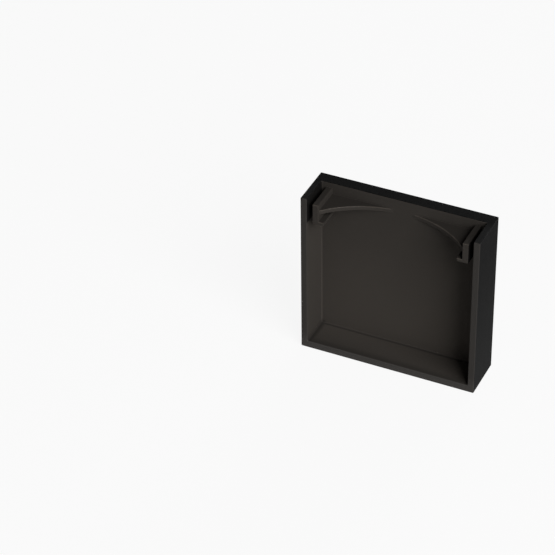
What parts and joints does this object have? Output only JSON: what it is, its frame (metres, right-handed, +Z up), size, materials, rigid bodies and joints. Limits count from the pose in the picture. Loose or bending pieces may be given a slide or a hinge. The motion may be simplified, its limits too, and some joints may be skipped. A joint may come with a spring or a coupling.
{
  "type": "profile end cap",
  "caption": "One-piece moulded end cap for a U-shaped profile: a square plate with three walls and two corner guides.",
  "frame": {"origin": "under the middle of the base, on the surface that the cap stands on", "axes": "+X across the width, +Y out of the flat outer face along the profile, +Z up to the open top"},
  "size_m": [0.038, 0.01, 0.037],
  "materials": {
    "moulded_plastic": "black moulded plastic, fine matte texture"
  },
  "bodies": {
    "root": {"end_cap": "moulded_plastic"}
  },
  "joints": []
}
